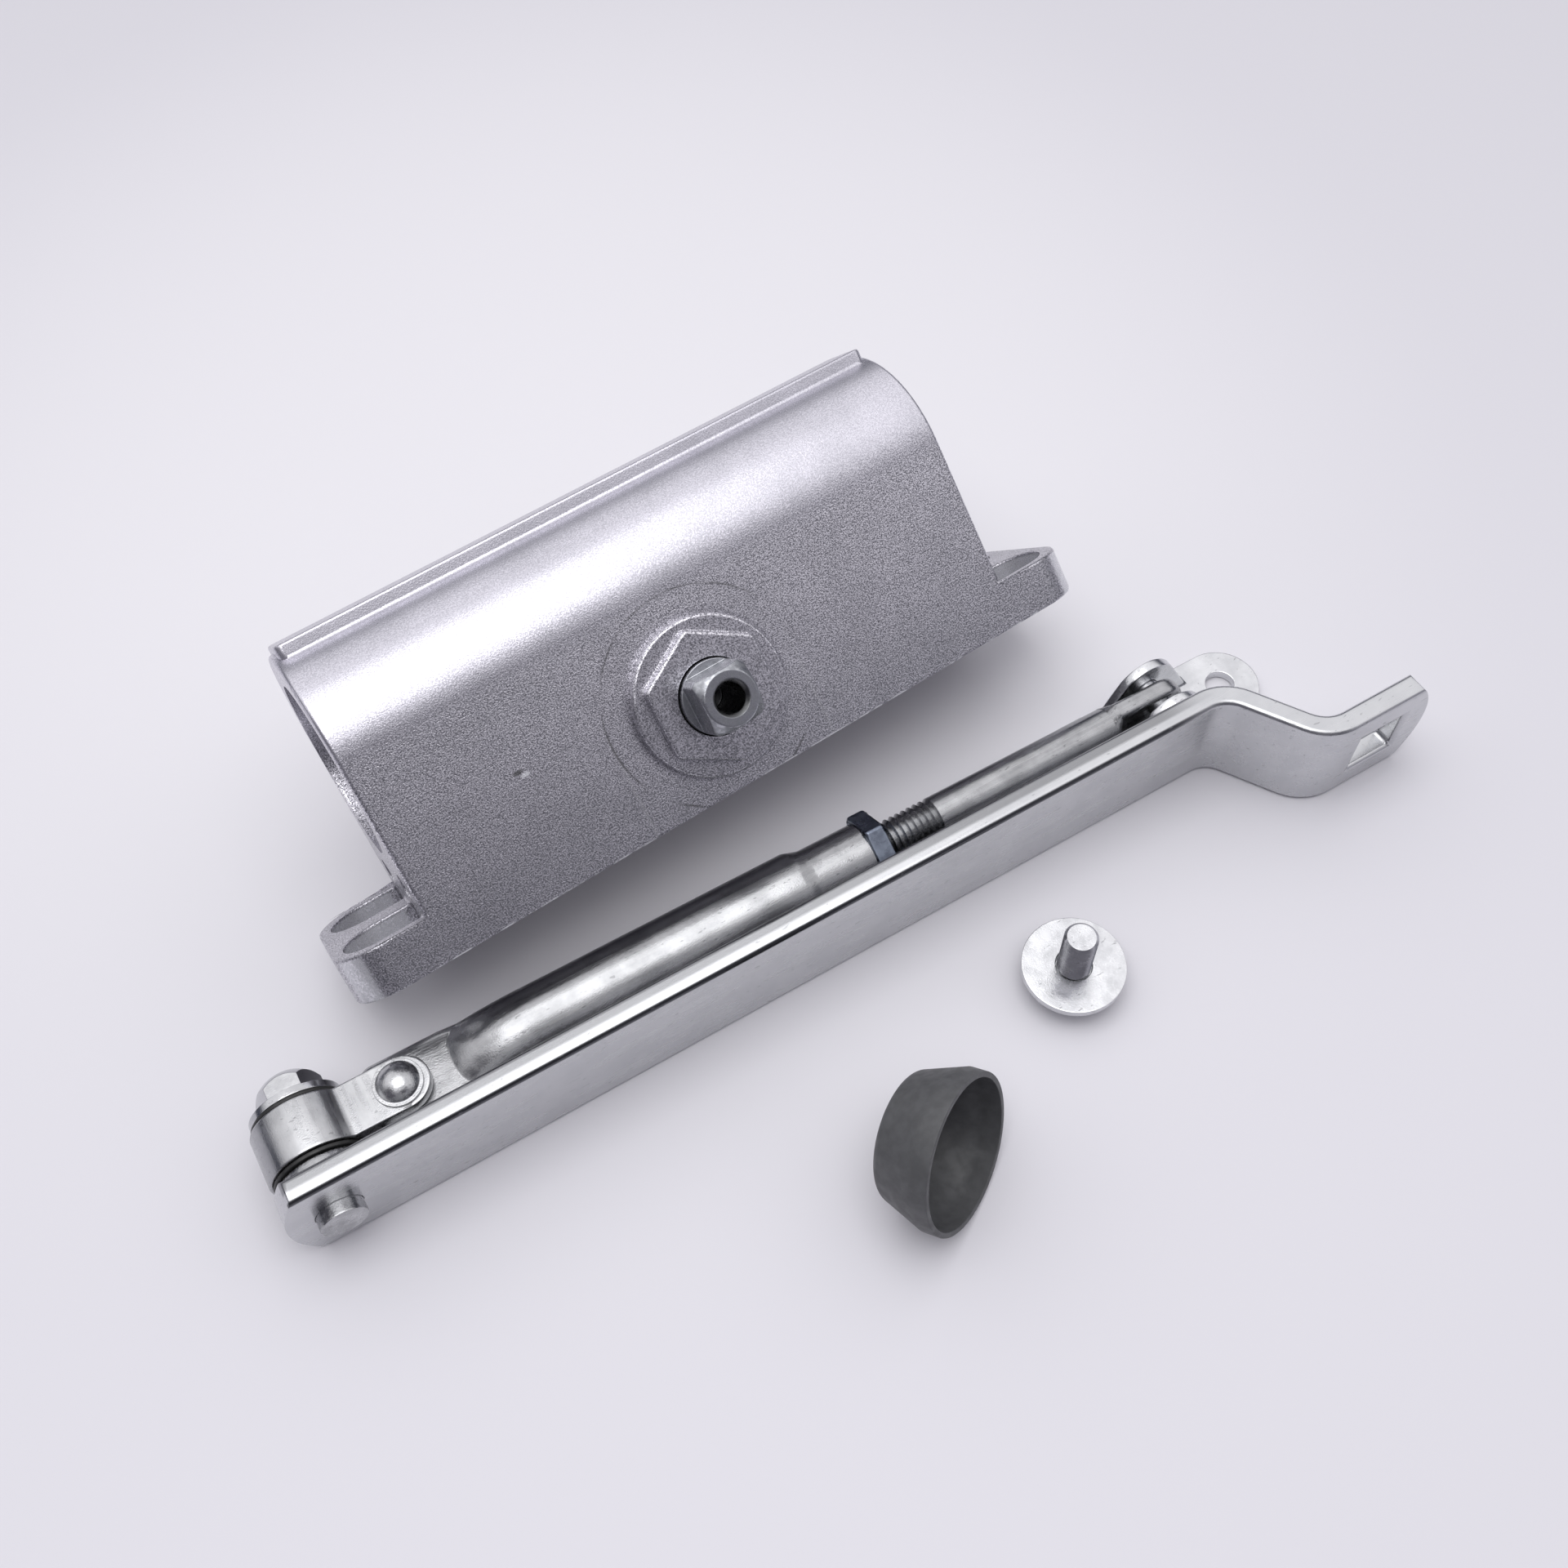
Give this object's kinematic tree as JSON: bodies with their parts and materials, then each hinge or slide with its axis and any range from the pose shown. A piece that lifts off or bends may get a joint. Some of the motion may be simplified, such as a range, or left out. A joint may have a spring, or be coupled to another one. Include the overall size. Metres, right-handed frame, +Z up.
{
  "type": "door closer",
  "caption": "Small surface-mounted rack-and-pinion door closer with its folded scissor arm and fixings, laid out unfitted on a table as it comes out of the box",
  "frame": {"origin": "midway between the frame bracket's two screw holes, on the table that everything lies on", "axes": "+X along the folded arm from the elbow to the frame bracket, +Y from the arm to the closer body, +Z up from the table"},
  "size_m": [0.2185, 0.1415, 0.0576],
  "materials": {
    "body_paint": "sandy satin",
    "machined_steel": "machined",
    "bronze": "satin",
    "seal_rubber": "matte",
    "bright_zinc": "bright plated",
    "blue_zinc": "blue plated",
    "black_nylon": "matte",
    "grey_plastic": "matte"
  },
  "bodies": {
    "closer": {"housing": "body_paint", "upper_bearing_cap": "body_paint", "lower_bearing_cap": "body_paint", "upper_bush": "bronze", "lower_bush": "bronze", "upper_shaft_seal": "seal_rubber", "lower_shaft_seal": "seal_rubber", "valve_end_plug": "machined_steel", "spring_end_plug": "machined_steel", "valve_plug_seal": "seal_rubber", "spring_plug_seal": "seal_rubber", "return_spring": "machined_steel"},
    "pinion": {"pinion": "machined_steel"},
    "piston": {"piston": "machined_steel", "piston_ring": "bronze", "check_ball": "machined_steel", "check_ball_retainer": "bronze"},
    "sweep_valve": {"sweep_valve": "machined_steel", "sweep_valve_seal": "seal_rubber"},
    "latch_valve": {"latch_valve": "machined_steel", "latch_valve_seal": "seal_rubber"},
    "main_arm": {"main_arm": "bright_zinc", "elbow_pin": "bright_zinc", "elbow_nut": "bright_zinc"},
    "elbow": {"elbow_strap": "bright_zinc", "elbow_bushes": "black_nylon", "strap_rivet": "bright_zinc"},
    "forearm": {"forearm_tube": "bright_zinc", "lock_nut": "blue_zinc"},
    "rod": {"adjusting_rod": "bright_zinc"},
    "bracket": {"frame_bracket": "bright_zinc", "bracket_pin": "bright_zinc"},
    "arm_screw": {"arm_screw": "bright_zinc", "arm_washer": "bright_zinc"},
    "pinion_cap": {"pinion_cap": "grey_plastic"}
  },
  "joints": [
    {"name": "pinion_turn", "type": "hinge", "parent": "closer", "child": "pinion", "pos_m": [-0.07791, 0.03892, 0.02526], "axis": [-0.0505, 0.6881, -0.7238], "range_deg": [0, 150]},
    {"name": "piston_slide", "type": "slide", "parent": "closer", "child": "piston", "axis": [0.9973, 0.0732, 0], "range_m": [0, 0.01636], "deforming": ["return_spring"]},
    {"name": "sweep_valve_turn", "type": "hinge", "parent": "closer", "child": "sweep_valve", "pos_m": [-0.13602, 0.02465, 0.02818], "axis": [-0.9973, -0.0732, 0], "range_deg": [-180, 180]},
    {"name": "latch_valve_turn", "type": "hinge", "parent": "closer", "child": "latch_valve", "pos_m": [-0.13693, 0.03703, 0.01516], "axis": [-0.9973, -0.0732, 0], "range_deg": [-180, 180]},
    {"name": "arm_lift", "type": "slide", "parent": "closer", "child": "main_arm", "axis": [0, 0, 1], "range_m": [0, 0.12]},
    {"name": "elbow_swing", "type": "hinge", "parent": "main_arm", "child": "elbow", "pos_m": [-0.16757, 0, 0.011], "axis": [0, -1, 0], "range_deg": [0, 180]},
    {"name": "forearm_tilt", "type": "hinge", "parent": "elbow", "child": "forearm", "pos_m": [-0.15108, 0, 0.01071], "axis": [0.0175, 0, 0.9998], "range_deg": [0, 4]},
    {"name": "rod_adjust", "type": "slide", "parent": "forearm", "child": "rod", "axis": [0.9998, 0, -0.0175], "range_m": [-0.01, 0.015]},
    {"name": "bracket_swing", "type": "hinge", "parent": "rod", "child": "bracket", "pos_m": [0.0042, 0, 0.008], "axis": [0, -1, 0], "range_deg": [0, 170]},
    {"name": "screw_lift", "type": "slide", "parent": "closer", "child": "arm_screw", "axis": [0, 0, 1], "range_m": [0, 0.06]},
    {"name": "cap_lift", "type": "slide", "parent": "closer", "child": "pinion_cap", "axis": [0, 0, 1], "range_m": [0, 0.06]}
  ],
  "couplings": [
    {"joint": "pinion_turn", "follows": "piston_slide", "rad_per_m": 160}
  ]
}
